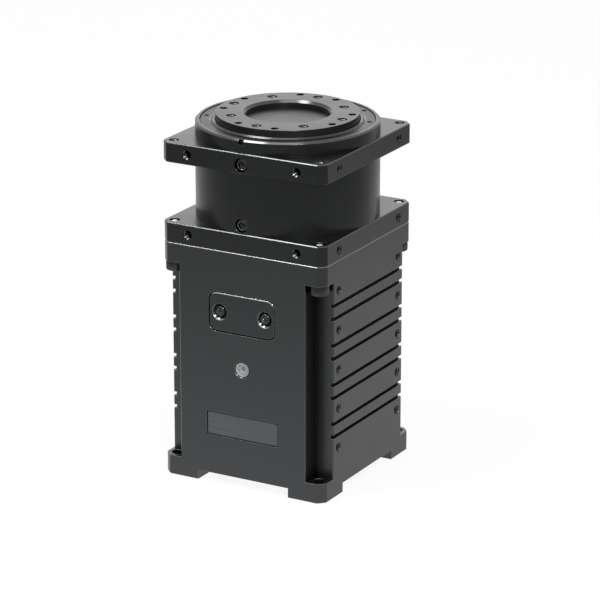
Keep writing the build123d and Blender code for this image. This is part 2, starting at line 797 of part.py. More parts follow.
with BuildPart() as base_cover_screws:
    with BuildSketch(Plane.XY.offset(foot_relief)):
        with GridLocations(base_screw_spacing, 0, 2, 1):
            Circle(small_shank_diameter / 2)
    extrude(amount=small_screw_length)
finish(base_cover_screws, "base_cover_screws")

with BuildPart() as lock_screws:
    for level, mouth, tip in (
        (upper_top - lock_screw_z_below_top, half, race_outer / 2 + slip_gap),
        (lock_level, barrel_diameter / 2, barrel_diameter / 2 - lock_screw_depth + slip_gap),
    ):
        outer_end = side_plane(front_turns, level, mouth - lock_screw_sink)
        with BuildSketch(outer_end):
            Circle(lock_screw_diameter / 2)
        extrude(amount=tip - mouth + lock_screw_sink)
        with BuildSketch(outer_end):
            RegularPolygon(bolt_hex / 2, 6, major_radius=False)
        extrude(amount=-lock_screw_socket, mode=Mode.SUBTRACT)
finish(lock_screws, "lock_screws")
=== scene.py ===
import math

import bmesh
import bpy
from mathutils import Matrix, Vector


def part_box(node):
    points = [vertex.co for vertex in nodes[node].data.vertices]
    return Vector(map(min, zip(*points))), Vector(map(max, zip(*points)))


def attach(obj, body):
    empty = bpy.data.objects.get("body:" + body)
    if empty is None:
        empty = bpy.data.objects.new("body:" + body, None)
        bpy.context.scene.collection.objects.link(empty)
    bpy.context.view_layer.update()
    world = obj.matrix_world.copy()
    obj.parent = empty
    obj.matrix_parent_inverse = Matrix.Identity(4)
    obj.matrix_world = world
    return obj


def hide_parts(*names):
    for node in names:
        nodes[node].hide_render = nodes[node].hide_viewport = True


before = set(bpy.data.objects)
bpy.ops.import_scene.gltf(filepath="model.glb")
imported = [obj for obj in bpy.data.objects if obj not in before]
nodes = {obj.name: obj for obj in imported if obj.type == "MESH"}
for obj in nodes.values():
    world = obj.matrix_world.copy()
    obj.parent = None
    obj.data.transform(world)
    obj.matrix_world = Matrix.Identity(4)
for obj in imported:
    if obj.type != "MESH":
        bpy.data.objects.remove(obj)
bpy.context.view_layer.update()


# Camera. A long lens looks a little down on the front right corner, so that the front is on
# the left, the right-hand side on the right, and the drilled output face just shows.
mm = 0.001
camera_turn, camera_rise = math.radians(29.43), math.radians(18.48)
camera_distance = 1.0
camera_aim = Vector((3.63, 0.79, 50.73)) * mm
lens_mm, sensor_mm = 203.7, 36
nearest, farthest = 0.05, 20
towards_camera = Vector(
    (
        math.sin(camera_turn) * math.cos(camera_rise),
        -math.cos(camera_turn) * math.cos(camera_rise),
        math.sin(camera_rise),
    )
)
camera = bpy.data.objects.new("camera", bpy.data.cameras.new("camera"))
bpy.context.scene.collection.objects.link(camera)
camera.location = camera_aim + towards_camera * camera_distance
camera.rotation_mode = "QUATERNION"
camera.rotation_quaternion = (-towards_camera).to_track_quat("-Z", "Y")
camera.data.sensor_width, camera.data.lens = sensor_mm, lens_mm
camera.data.clip_start, camera.data.clip_end = nearest, farthest
bpy.context.scene.camera = camera
bpy.context.scene.view_settings.view_transform = "Standard"


# Studio. A pale floor and a white surround, which black metal shows in its faces, with soft
# boxes for the light itself. What the camera and the polished faces see is plain white. The
# studio is measured in metres, and the pieces in mm.
def linear(code):
    """An sRGB hex colour as the linear colour that Blender works in."""
    parts = [int(code[i : i + 2], 16) / 255 for i in (1, 3, 5)]
    return [c / 12.92 if c <= 0.04045 else ((c + 0.055) / 1.055) ** 2.4 for c in parts] + [1]


def add(tree, kind, settings=None, links=None):
    """Adds a node to a material: settings go to its sockets or its own values."""
    node = tree.nodes.new("ShaderNode" + kind)
    for name, value in (settings or {}).items():
        if name == "stops":
            ramp = node.color_ramp.elements
            while len(ramp) < len(value):
                ramp.new(0.5)
            for stop, (position, colour) in zip(ramp, value):
                stop.position, stop.color = position, colour
        elif isinstance(name, int) or name in node.inputs:
            node.inputs[name].default_value = value
        else:
            setattr(node, name, value)
    for name, source in (links or {}).items():
        tree.links.new(source, node.inputs[name])
    return node


def seen_directly(tree):
    """One for what the camera, a reflection or a clear lens sees, and none for other light."""
    path = add(tree, "LightPath")
    seen = path.outputs["Is Camera Ray"]
    for ray in ("Is Glossy Ray", "Is Transmission Ray"):
        either = {0: seen, 1: path.outputs[ray]}
        seen = add(tree, "Math", {"operation": "MAXIMUM"}, either).outputs[0]
    return seen


black, white = linear("#000000"), linear("#ffffff")
surround_light = 0.5

world = bpy.data.worlds.new("studio")
bpy.context.scene.world = world
world.use_nodes = True
tree = world.node_tree
tree.nodes.clear()
lit = {"To Min": surround_light, "To Max": 1.0}
light = add(tree, "MapRange", lit, {0: seen_directly(tree)})
sky = add(tree, "Background", {"Color": white}, {"Strength": light.outputs[0]})
add(tree, "OutputWorld", None, {"Surface": sky.outputs[0]})

# The floor is white paper. In reflections it glows with a painted pool of light round the
# object, that fades with the distance, and it keeps a trace of the object's shadow.
floor_white = linear("#f4f4f4")
floor_kept = 0.08
floor_reach = 5
pool_middle = (-0.06, 0.10, 0)
pool_near, pool_far = 0.14, 0.44
pool_edge_light = 0.22
floor_finish = bpy.data.materials.new("white_paper_floor")
floor_finish.use_nodes = True
tree = floor_finish.node_tree
tree.nodes.clear()
paper = add(tree, "BsdfDiffuse", {"Color": floor_white})
spot = add(tree, "TexCoord").outputs["Object"]
to_middle = {"operation": "DISTANCE", 1: pool_middle}
reach = add(tree, "VectorMath", to_middle, {0: spot}).outputs["Value"]
pool = {"From Min": pool_near, "From Max": pool_far, "To Min": 1.0, "To Max": pool_edge_light}
painted_pool_light = add(tree, "MapRange", pool, {0: reach}).outputs[0]
to_camera = add(tree, "LightPath").outputs["Is Camera Ray"]
strength = add(tree, "Math", {"operation": "MAXIMUM"}, {0: painted_pool_light, 1: to_camera}).outputs[0]
glow = add(tree, "Emission", {"Color": white}, {"Strength": strength})
share = add(tree, "Math", {"operation": "MULTIPLY", 1: 1 - floor_kept}, {0: seen_directly(tree)})
both = {0: share.outputs[0], 1: paper.outputs[0], 2: glow.outputs[0]}
mixed = add(tree, "MixShader", None, both)
add(tree, "OutputMaterial", None, {"Surface": mixed.outputs[0]})

floor_mesh = bpy.data.meshes.new("floor")
floor_corners = [
    (x * floor_reach, y * floor_reach, 0) for x, y in ((-1, -1), (1, -1), (1, 1), (-1, 1))
]
floor_mesh.from_pydata(floor_corners, [], [(0, 1, 2, 3)])
floor = bpy.data.objects.new("floor", floor_mesh)
floor.data.materials.append(floor_finish)
bpy.context.scene.collection.objects.link(floor)

boxes_aim = Vector((0, 0, 0.06))


def soft_box(name, place, size, power):
    """A square soft light that looks at the middle of the object."""
    lamp = bpy.data.lights.new(name, "AREA")
    lamp.size, lamp.energy = size, power
    box = bpy.data.objects.new(name, lamp)
    box.location = place
    aim = boxes_aim - box.location
    box.rotation_euler = aim.to_track_quat("-Z", "Y").to_euler()
    bpy.context.scene.collection.objects.link(box)


soft_box("front_box", place=(-0.27, -0.31, 0.82), size=0.26, power=4.0)
soft_box("right_box", place=(0.44, -0.46, 0.62), size=0.16, power=3.6)
soft_box("overhead_box", place=(0.05, -0.10, 0.95), size=0.35, power=1.0)
soft_box("back_box", place=(-0.42, 0.72, 0.33), size=0.5, power=0.5)


# Motor case. A block of aluminium, milled all over, blasted with fine beads and anodised
# black. The anodising takes its grey from what it mirrors, and a paler highlight is painted
# along its edges.
bead_mark_mm, bead_dent_mm = 0.45, 0.01
cloud_mm = 11.0
crevice_mm = 1.6
# Where the painted edge highlight fades out towards hollows, by how open a spot is, and how much
# glossier it is.
highlight_from, highlight_to = 0.62, 0.80
highlight_gloss = 0.12

# The places of a Mix node's colour sockets, which share their names with others.
mix_a, mix_b, mix_result = 6, 7, 2


def begin_finish(name):
    """A new empty material, and the place on the object that its patterns start from."""
    finish = bpy.data.materials.new(name)
    finish.use_nodes = True
    finish.node_tree.nodes.clear()
    place = add(finish.node_tree, "TexCoord").outputs["Object"]
    return finish, finish.node_tree, place


def painted_shade(tree, shade, openness, shade_dark, shut, clear):
    """The colour, darkened towards a near black where the faces round a spot shut the light out:
    painted shade.
    """
    stops = {"stops": [(shut, black), (clear, white)]}
    light = add(tree, "ValToRGB", stops, {0: openness}).outputs[0]
    dark = {"data_type": "RGBA", mix_a: linear(shade_dark)}
    return add(tree, "Mix", dark, {0: light, mix_b: shade}).outputs[mix_result]


def broken_edge(tree, width_mm):
    """The normal rounded over a sharp edge, and how far it turns there, which marks where an edge
    highlight is painted.
    """
    rounded = add(tree, "Bevel", {"samples": 8, "Radius": width_mm * mm}).outputs[0]
    plain = add(tree, "NewGeometry").outputs["Normal"]
    along = add(tree, "VectorMath", {"operation": "DOT_PRODUCT"}, {0: rounded, 1: plain})
    wear = {"stops": [(0.90, white), (0.985, black)]}
    return rounded, add(tree, "ValToRGB", wear, {0: along.outputs["Value"]}).outputs[0]


def upward_chamfer(tree):
    """One on a face that leans upwards, as a broken upper edge does, and none on the others: where
    a highlight is painted on upward chamfers.
    """
    facing = add(tree, "NewGeometry").outputs["Normal"]
    lean = add(tree, "SeparateXYZ", None, {0: facing}).outputs["Z"]
    slanted = {"stops": [(0.25, black), (0.40, white), (0.88, white), (0.97, black)]}
    return add(tree, "ValToRGB", slanted, {0: lean}).outputs[0]


def blasted_anodising(name, shade, pale, highlight_colour, roughness, edge_mm=0.12, bump=0.1):
    """Bead-blasted, dyed anodising. The beads leave dents of about 0.05 mm, drawn here about
    ten times as coarse so that they show, and handling clouds the gloss in soft patches.
    Shade is painted into grooves and holes, near black, and a highlight is painted along the
    outer edges and upward chamfers as a paler and glossier line."""
    finish, tree, place = begin_finish(name)
    beads = {"Scale": 1 / (bead_mark_mm * mm), "Detail": 3.0, "Roughness": 0.6}
    grain = add(tree, "TexNoise", beads, {"Vector": place}).outputs[0]
    clouds = {"Scale": 1 / (cloud_mm * mm), "Detail": 2.0}
    cloud = add(tree, "TexNoise", clouds, {"Vector": place}).outputs[0]
    speckle = {"stops": [(0.35, linear(shade)), (0.75, linear(pale))]}
    dye = add(tree, "ValToRGB", speckle, {0: grain}).outputs[0]
    # Painted shade: grooves and holes are darkened to near black by how shut in each spot is.
    deep = {"samples": 8, "only_local": True, "Distance": crevice_mm * mm}
    openness = add(tree, "AmbientOcclusion", deep).outputs["AO"]
    shaded_colour = painted_shade(tree, dye, openness, "#121213", shut=0.35, clear=0.85)
    # Painted highlight: a paler, glossier line along the outer edges and upward chamfers, kept to
    # open spots.
    rounded, turned_edge = broken_edge(tree, edge_mm)
    either = {0: turned_edge, 1: upward_chamfer(tree)}
    edges = add(tree, "Math", {"operation": "MAXIMUM"}, either).outputs[0]
    in_reach = {"From Min": highlight_from, "From Max": highlight_to}
    outer = add(tree, "MapRange", in_reach, {0: openness}).outputs[0]
    painted_edge_highlight = add(tree, "Math", {"operation": "MULTIPLY"}, {0: edges, 1: outer}).outputs[0]
    highlight_mix = {"data_type": "RGBA", mix_b: linear(highlight_colour)}
    colour = add(tree, "Mix", highlight_mix, {0: painted_edge_highlight, mix_a: shaded_colour}).outputs[mix_result]
    gloss = {"To Min": roughness - 0.05, "To Max": roughness + 0.07}
    matt = add(tree, "MapRange", gloss, {0: cloud}).outputs[0]
    polish = {"operation": "MULTIPLY_ADD", 1: -highlight_gloss}
    rough = add(tree, "Math", polish, {0: painted_edge_highlight, 2: matt}).outputs[0]
    relief = {"Strength": bump, "Distance": bead_dent_mm * mm}
    dents = add(tree, "Bump", relief, {"Height": grain, "Normal": rounded}).outputs[0]
    links = {"Base Color": colour, "Roughness": rough, "Normal": dents}
    skin = add(tree, "BsdfPrincipled", {"Metallic": 1.0}, links)
    add(tree, "OutputMaterial", None, {"Surface": skin.outputs[0]})
    return finish


def coat(finish, *names):
    """Gives the finish to every material slot of the named nodes."""
    for name in names:
        for slot in nodes[name].material_slots:
            slot.material = finish


case_finish = blasted_anodising(
    "black_anodised_blasted_aluminium", "#474849", "#4f5051", "#77787a", 0.34, edge_mm=0.2
)
coat(case_finish, "motor_case")


# Flanges and gear barrel. The same blasted and anodised aluminium as the case: two square
# plates with the turned barrel of the gear between them, drawn together by the corner bolts.
flange_finish = blasted_anodising(
    "black_anodised_flange_aluminium", "#3b3c3d", "#424344", "#525355", 0.30
)
coat(flange_finish, "lower_flange", "bearing_housing")
barrel_finish = blasted_anodising(
    "black_anodised_turned_aluminium", "#3a3b3c", "#404142", "#707173", 0.30
)
coat(barrel_finish, "gear_housing")


# Threads of the frame. The holes of the case and the flanges are tapped M3 after anodising, so
# their turns are barer than the faces and catch a crescent of light just inside the mouth.
def box_mm(node):
    """The lowest and highest corners of a node, in mm to a hundredth."""
    return [[round(reach / mm, 2) for reach in corner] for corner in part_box(node)]


frame_half = box_mm("motor_case")[1][0]
lower_bottom, lower_top = [corner[2] for corner in box_mm("lower_flange")]
upper_bottom = box_mm("bearing_housing")[0][2]
flange_thickness = lower_top - lower_bottom
upper_top = upper_bottom + flange_thickness
side_inset, corner_inset = 9.0, 3.0
row_offset, corner_offset = frame_half - side_inset, frame_half - corner_inset
first_row, row_pitch, row_count = 15, 12, 5
case_hole_rows = [first_row + row_pitch * i for i in range(row_count)]
thread_pitch = 0.5
thread_start = 0.3
thread_crest = 1.17
thread_root = 1.44
thread_back = 1.47


def turned(profile, segments):
    """A closed shape turned about Z from (radius, height) points in mm. It ends on the axis
    where the first and last radius are nothing, and is a ring otherwise."""
    shape = bmesh.new()
    rings = []
    for radius, height in profile:
        count = 1 if radius == 0 else segments
        turns = [math.tau * i / segments for i in range(count)]
        spots = [(radius * math.cos(t) * mm, radius * math.sin(t) * mm, height * mm) for t in turns]
        rings.append([shape.verts.new(spot) for spot in spots])
    pairs = list(zip(rings, rings[1:]))
    if profile[0][0] > 0:
        pairs.append((rings[-1], rings[0]))
    for here, there in pairs:
        for i in range(segments):
            j = (i + 1) % segments
            corners = [here[i % len(here)], here[j % len(here)]]
            corners += [there[j % len(there)], there[i % len(there)]]
            shape.faces.new(list(dict.fromkeys(corners)))
    bmesh.ops.recalc_face_normals(shape, faces=shape.faces)
    return shape


def on_side(side, across, height, out):
    """A spot on a side, counted from the front to the right: Z points out of the face."""
    spin = Matrix.Rotation(side * math.pi / 2, 4, "Z")
    spot = Matrix.Translation(Vector((across, -out, height)) * mm)
    return spin @ spot @ Matrix.Rotation(math.pi / 2, 4, "X")


def on_top(x, y, z):
    """A spot on an upward face."""
    return Matrix.Translation(Vector((x, y, z)) * mm)


def piece(name, shapes, finish, body, smooth=40):
    """Joins shapes, each with its places, into one object that rides on a body. Faces that
    meet at less than the smooth angle, in degrees, are shaded as one curved face."""
    joined = bmesh.new()
    for shape, places in shapes:
        part = bpy.data.meshes.new("part")
        shape.to_mesh(part)
        for place in places:
            before = len(joined.verts)
            joined.from_mesh(part)
            joined.verts.ensure_lookup_table()
            bmesh.ops.transform(joined, matrix=place, verts=joined.verts[before:])
        bpy.data.meshes.remove(part)
    mesh = bpy.data.meshes.new(name)
    joined.to_mesh(mesh)
    joined.free()
    made = bpy.data.objects.new(name, mesh)
    made.data.materials.append(finish)
    bpy.context.scene.collection.objects.link(made)
    made.data.shade_smooth()
    made.data.set_sharp_from_angle(angle=math.radians(smooth))
    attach(made, body)
    return made


def thread(turns):
    """The turns of a tapped hole, from its mouth inwards."""
    rows = [(thread_root, -thread_start)]
    for i in range(turns):
        rows.append((thread_crest, -thread_start - thread_pitch * (i + 0.5)))
        rows.append((thread_root, -thread_start - thread_pitch * (i + 1)))
    rows += [(thread_back, rows[-1][1]), (thread_back, -thread_start)]
    return turned(rows, 20)


def flange_sides(height):
    """The two holes in each of a flange's four sides."""
    sides = [(side, across) for side in range(4) for across in (-row_offset, row_offset)]
    return [on_side(side, across, height, frame_half) for side, across in sides]


def four_corners(height):
    """The places of the corner screws, and of the holes above them, at one height."""
    reaches = (-corner_offset, corner_offset)
    return [on_top(x, y, height) for x in reaches for y in reaches]


chatter_mm, thread_shade_mm = 0.6, 3.0
thread_finish, tree, place = begin_finish("tapped_aluminium_thread")
marks = {"Scale": 1 / (chatter_mm * mm), "Detail": 2.0}
chatter = add(tree, "TexNoise", marks, {"Vector": place}).outputs[0]
shades = {"stops": [(0.3, linear("#424344")), (0.75, linear("#5c5d5e"))]}
cut_metal = add(tree, "ValToRGB", shades, {0: chatter}).outputs[0]
# Painted shade: deeper in the holes the metal is darkened to near black.
deep = {"samples": 8, "Distance": thread_shade_mm * mm}
openness = add(tree, "AmbientOcclusion", deep).outputs["AO"]
colour = painted_shade(tree, cut_metal, openness, "#0c0c0d", shut=0.18, clear=0.6)
skin = add(tree, "BsdfPrincipled", {"Metallic": 1.0, "Roughness": 0.2}, {"Base Color": colour})
add(tree, "OutputMaterial", None, {"Surface": skin.outputs[0]})

deep_thread = thread(8)
case_spots = [
    on_side(side, across, height, frame_half)
    for side in (1, 3)
    for across in (-row_offset, row_offset)
    for height in case_hole_rows
]
lower_spots = flange_sides(lower_bottom + flange_thickness / 2)
upper_spots = flange_sides(upper_bottom + flange_thickness / 2)
corner_spots = four_corners(upper_top)
piece("case_threads", [(deep_thread, case_spots)], thread_finish, "housing")
piece("lower_flange_threads", [(deep_thread, lower_spots)], thread_finish, "housing")
piece("upper_flange_threads", [(deep_thread, upper_spots + corner_spots)], thread_finish, "housing")


# Output horn and its plug. Turned and drilled aluminium with a finer blast than the frame and
# a greyer black, so its face shows a fine speckle. The plug closes the middle of the bore, and
# is left as it was turned, darker and smoother.
horn_top = box_mm("output_horn")[1][2]
horn_grid = 6.0
horn_holes = ((3, 0), (-3, 0), (0, 3), (0, -3), (2, 2), (2, -2), (-2, 2), (-2, -2))
horn_finish = blasted_anodising(
    "grey_black_anodised_horn", "#3a3b3c", "#4a4b4d", "#4c4d4f", 0.32, bump=0.25
)
coat(horn_finish, "output_horn")
short_thread = thread(5)
horn_spots = [on_top(x * horn_grid, y * horn_grid, horn_top) for x, y in horn_holes]
piece("horn_threads", [(short_thread, horn_spots)], horn_finish, "output")
plug_finish = blasted_anodising("black_anodised_turned_plug", "#2c2d2e", "#333435", "#4c4d4f", 0.3)
coat(plug_finish, "horn_cap")


# Bearing retainer. A ring of aluminium screwed into the neck with a pin spanner, anodised
# darker and duller than the horn, with a thin pale highlight painted along its turned edges.
retainer_finish = blasted_anodising(
    "dull_black_anodised_ring", "#2b2c2d", "#3a3b3d", "#77787a", 0.36, bump=0.3
)
ring_inner, ring_outer = 22.24, 25.5
ring_bottom = box_mm("bearing_retainer")[0][2]
ring_height, ring_break = 1.8, 0.22
ring_top = ring_bottom + ring_height
pin_hole_angles = (20.5, 50.5, 200.5)
pin_hole_reach, pin_hole_radius, pin_hole_depth = 23.9, 0.75, 0.8
drill_run, drill_point = 0.3, 0.2
ring_profile = [
    (ring_inner, ring_bottom),
    (ring_outer, ring_bottom),
    (ring_outer, ring_top - ring_break),
    (ring_outer - ring_break, ring_top),
    (ring_inner + 2 * ring_break, ring_top),
    (ring_inner, ring_top - 1.5 * ring_break),
]


def carved(shape, tools):
    """The shape with the tools cut out of it."""
    made = []
    for one in [shape] + tools:
        mesh = bpy.data.meshes.new("blank")
        one.to_mesh(mesh)
        blank = bpy.data.objects.new("blank", mesh)
        bpy.context.scene.collection.objects.link(blank)
        made.append(blank)
    for tool in made[1:]:
        cut = made[0].modifiers.new("cut", "BOOLEAN")
        cut.operation, cut.solver, cut.object = "DIFFERENCE", "EXACT", tool
    result = bmesh.new()
    result.from_object(made[0], bpy.context.evaluated_depsgraph_get())
    for blank in made:
        bpy.data.objects.remove(blank)
    return result


pin_holes = []
for angle in pin_hole_angles:
    drill_profile = [
        (0, ring_top + drill_run),
        (pin_hole_radius, ring_top + drill_run),
        (pin_hole_radius, ring_top - pin_hole_depth),
        (0, ring_top - pin_hole_depth - drill_point),
    ]
    drill = turned(drill_profile, 20)
    turn = math.radians(angle)
    away = Vector((math.cos(turn), math.sin(turn), 0)) * pin_hole_reach * mm
    bmesh.ops.translate(drill, verts=drill.verts, vec=away)
    pin_holes.append(drill)
ring_shape = carved(turned(ring_profile, 128), pin_holes)
ring = piece("pin_spanner_ring", [(ring_shape, [Matrix()])], retainer_finish, "housing", smooth=20)
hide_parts("bearing_retainer")


# Output seal. Nitrile rubber moulded as a ring with a sloping lip that rubs on the horn. It is
# nearly black, and shines in a narrow curved line along the slope.
def clouded(name, cloud_mm, detail, shades, matt, settings, dark_at=0.3):
    """A finish whose shade and gloss drift together, from the darker of the shades to the
    paler and between the two roughnesses, in clouds of a real size."""
    finish, tree, place = begin_finish(name)
    clouds = {"Scale": 1 / (cloud_mm * mm), "Detail": detail}
    cloud = add(tree, "TexNoise", clouds, {"Vector": place}).outputs[0]
    stops = {"stops": [(dark_at, linear(shades[0])), (0.8, linear(shades[1]))]}
    shade = add(tree, "ValToRGB", stops, {0: cloud}).outputs[0]
    gloss = {"To Min": matt[0], "To Max": matt[1]}
    rough = add(tree, "MapRange", gloss, {0: cloud}).outputs[0]
    skin = add(tree, "BsdfPrincipled", settings, {"Base Color": shade, "Roughness": rough})
    add(tree, "OutputMaterial", None, {"Surface": skin.outputs[0]})
    return finish


seal_inner, seal_outer = 21.08, 22.18
seal_height, lip_slope, lip_round = 2.05, 0.5, 0.2
seal_bottom = box_mm("output_seal")[0][2]
lip_top = seal_bottom + seal_height
nitrile = {"IOR": 1.52}
seal_finish = clouded(
    "moulded_nitrile_rubber", 1.5, 3.0, ("#131415", "#232425"), (0.16, 0.3), nitrile
)
seal_profile = [
    (seal_outer, lip_top - lip_slope),
    (seal_outer - lip_slope, lip_top),
    (seal_inner + lip_round, lip_top),
    (seal_inner, lip_top - lip_round),
    (seal_inner, seal_bottom),
    (seal_outer, seal_bottom),
]
seal = piece("seal_lip", [(turned(seal_profile, 96), [Matrix()])], seal_finish, "housing")
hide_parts("output_seal")


# Corner bolts. M3 socket-head screws of blackened steel come up through the roof of each corner
# recess and end, bare and bright, just below the top of the lower flange. The black of the
# heads is an oiled oxide, with shade painted darker in the hollows and a bright highlight
# painted along the edges.
bolt_head_bottom, bolt_tip = [corner[2] for corner in box_mm("corner_bolts")]
bolt_head_radius, bolt_head_height, bolt_radius = 2.75, 3.0, 1.42
bolt_head_top = bolt_head_bottom + bolt_head_height
bolt_hex_radius, bolt_hex_depth, bolt_hex_point = 1.44, 1.3, 0.5
head_round, head_round_middle = 0.45, 0.13
head_edge, head_edge_height = 0.12, 0.2
bolt_point = 0.35
drive_run = 0.5
knurl_depth = 0.15
knurl_lines = 60
knurl_reach = 0.02
oil_mm, shade_reach_mm, oxide_edge_mm = 2.0, 1.2, 0.08
oxide_finish, tree, place = begin_finish("blackened_steel")
film = {"Scale": 1 / (oil_mm * mm), "Detail": 3.0}
oil = add(tree, "TexNoise", film, {"Vector": place}).outputs[0]
blacks = {"stops": [(0.3, linear("#303133")), (0.75, linear("#48494b"))]}
oxide = add(tree, "ValToRGB", blacks, {0: oil}).outputs[0]
# Painted shade: hollows such as the hex sockets are darkened to near black.
deep = {"samples": 8, "Distance": shade_reach_mm * mm}
openness = add(tree, "AmbientOcclusion", deep).outputs["AO"]
shaded_colour = painted_shade(tree, oxide, openness, "#0c0c0d", shut=0.25, clear=0.7)
# Painted highlight: a bright steel line along the edges.
rounded, painted_edge_highlight = broken_edge(tree, oxide_edge_mm)
highlight_mix = {"data_type": "RGBA", mix_b: linear("#d8d9da")}
colour = add(tree, "Mix", highlight_mix, {0: painted_edge_highlight, mix_a: shaded_colour}).outputs[mix_result]
rough = add(tree, "MapRange", {"To Min": 0.13, "To Max": 0.25}, {0: oil}).outputs[0]
links = {"Base Color": colour, "Roughness": rough, "Normal": rounded}
skin = add(tree, "BsdfPrincipled", {"Metallic": 1.0}, links)
add(tree, "OutputMaterial", None, {"Surface": skin.outputs[0]})


def knurled(shape, radius, depth):
    """Presses the straight grip of a screw head into every second line of its side, at about
    twice the real spacing so that it shows."""
    for vertex in shape.verts:
        reach = vertex.co.xy.length / mm
        turn = round(math.atan2(vertex.co.y, vertex.co.x) / math.tau * knurl_lines)
        if abs(reach - radius) < knurl_reach and turn % 2:
            vertex.co.xy *= (radius - depth) / radius
    return shape


bolt_profile = [
    (0, bolt_head_bottom),
    (bolt_head_radius - head_round, bolt_head_bottom),
    (bolt_head_radius - head_round_middle, bolt_head_bottom + head_round_middle),
    (bolt_head_radius, bolt_head_bottom + head_round),
    (bolt_head_radius, bolt_head_top - head_edge_height),
    (bolt_head_radius - head_edge, bolt_head_top),
    (bolt_radius, bolt_head_top),
    (bolt_radius, bolt_tip - bolt_point),
    (bolt_radius - bolt_point, bolt_tip),
    (0, bolt_tip),
]
bolt_hex_profile = [
    (0, bolt_head_bottom - drive_run),
    (bolt_hex_radius, bolt_head_bottom - drive_run),
    (bolt_hex_radius, bolt_head_bottom + bolt_hex_depth),
    (0, bolt_head_bottom + bolt_hex_depth + bolt_hex_point),
]
bolt_blank = knurled(turned(bolt_profile, knurl_lines), bolt_head_radius, knurl_depth)
bolt_shape = carved(bolt_blank, [turned(bolt_hex_profile, 6)])
bolt_spots = four_corners(0)
bolts = piece("corner_socket_bolts", [(bolt_shape, bolt_spots)], oxide_finish, "housing", smooth=30)
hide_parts("corner_bolts")

# The ends are domed and left as bare steel, turned in rings about 0.1 mm apart, which shows as
# a white dot.
tip_wave_mm = 0.35
tip_radius, tip_skirt = 1.44, 1.3
tip_finish, tree, place = begin_finish("bare_bright_steel")
rings = {"Scale": 1 / (tip_wave_mm * mm), "rings_direction": "Z", "wave_type": "RINGS"}
turning = add(tree, "TexWave", rings, {"Vector": place}).outputs[0]
brights = {"stops": [(0.2, linear("#c8c9ca")), (0.8, linear("#e4e5e6"))]}
bright = add(tree, "ValToRGB", brights, {0: turning}).outputs[0]
skin = add(tree, "BsdfPrincipled", {"Metallic": 1.0, "Roughness": 0.6}, {"Base Color": bright})
add(tree, "OutputMaterial", None, {"Surface": skin.outputs[0]})
tip_profile = [
    (0, bolt_tip + 0.42),
    (0.5, bolt_tip + 0.38),
    (0.85, bolt_tip + 0.24),
    (1.1, bolt_tip - 0.02),
    (1.3, bolt_tip - 0.4),
    (tip_radius, bolt_tip - 0.75),
    (tip_radius, bolt_tip - tip_skirt),
    (0, bolt_tip - tip_skirt),
]
tips = piece("corner_bolt_tips", [(turned(tip_profile, 32), bolt_spots)], tip_finish, "housing")


# Access cover. A small plate of anodised aluminium let into the front of the case, with a
# counterbore for each of its two screws. Its edge is broken all round, with a pale highlight
# painted along it, fullest along the top.
cover_corners = box_mm("access_cover")
cover_low, cover_high = [corner[2] for corner in cover_corners]
cover_half = cover_corners[1][0]
cover_face, cover_back = [-corner[1] for corner in cover_corners]
cover_thickness = cover_face - cover_back
cover_middle = (cover_low + cover_high) / 2
cover_corner, cover_gap = 2.7, 0.15
cover_break, back_break = 0.3, 0.05
cover_screw_x = 7.5
counterbore_radius, counterbore_depth = 2.3, 1.1
cover_screw_hole = 1.15


def outline(curve, points):
    """Adds a closed line through the points, in mm, to a flat curve."""
    line = curve.splines.new("BEZIER")
    line.bezier_points.add(len(points) - 1)
    for spot, (x, y) in zip(line.bezier_points, points):
        spot.co = (x * mm, y * mm, 0)
        spot.handle_left_type = spot.handle_right_type = "VECTOR"
    line.use_cyclic_u = True
    line.resolution_u = 8


def round_rectangle(width, height, corner):
    """The points of a rectangle with round corners, centred on nothing."""
    reach_x, reach_y = width / 2 - corner, height / 2 - corner
    points = []
    for x, y, start in ((1, 1, 0), (-1, 1, 1), (-1, -1, 2), (1, -1, 3)):
        for i in range(7):
            t = (start + i / 6) * math.pi / 2
            points.append((x * reach_x + corner * math.cos(t), y * reach_y + corner * math.sin(t)))
    return points


def circle(x, radius):
    """The points of a circle, clockwise as the edge of a hole."""
    turns = [-math.tau * i / 24 for i in range(24)]
    return [(x + radius * math.cos(t), radius * math.sin(t)) for t in turns]


def plate(outlines, thickness, edge_break):
    """A flat plate with its edges broken, its face at the height of nothing, back below it."""
    curve = bpy.data.curves.new("plate", "CURVE")
    curve.dimensions, curve.fill_mode = "2D", "BOTH"
    for points in outlines:
        outline(curve, points)
    curve.extrude = thickness / 2 * mm - edge_break * mm
    curve.bevel_depth, curve.bevel_resolution = edge_break * mm, 1
    curve.offset = -edge_break * mm
    holder = bpy.data.objects.new("plate", curve)
    bpy.context.scene.collection.objects.link(holder)
    filled = holder.evaluated_get(bpy.context.evaluated_depsgraph_get())
    mesh = bpy.data.meshes.new_from_object(filled)
    shape = bmesh.new()
    shape.from_mesh(mesh)
    bmesh.ops.remove_doubles(shape, verts=shape.verts, dist=0.001 * mm)
    bmesh.ops.translate(shape, verts=shape.verts, vec=(0, 0, -thickness / 2 * mm))
    bpy.data.objects.remove(holder)
    bpy.data.curves.remove(curve)
    return shape


cover_finish = blasted_anodising(
    "black_anodised_cover_plate", "#444546", "#4b4c4d", "#d0d1d2", 0.30, edge_mm=0.15
)
cover_outline = round_rectangle(
    2 * (cover_half - cover_gap), cover_high - cover_low - 2 * cover_gap, cover_corner - cover_gap
)
front_layer = plate(
    [cover_outline] + [circle(x, counterbore_radius) for x in (-cover_screw_x, cover_screw_x)],
    counterbore_depth,
    cover_break,
)
back_layer = plate(
    [cover_outline] + [circle(x, cover_screw_hole) for x in (-cover_screw_x, cover_screw_x)],
    cover_thickness - counterbore_depth,
    back_break,
)
cover = piece(
    "front_access_cover",
    [
        (front_layer, [on_side(0, 0, cover_middle, cover_face)]),
        (back_layer, [on_side(0, 0, cover_middle, cover_face - counterbore_depth)]),
    ],
    cover_finish,
    "housing",
    smooth=15,
)
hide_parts("access_cover")

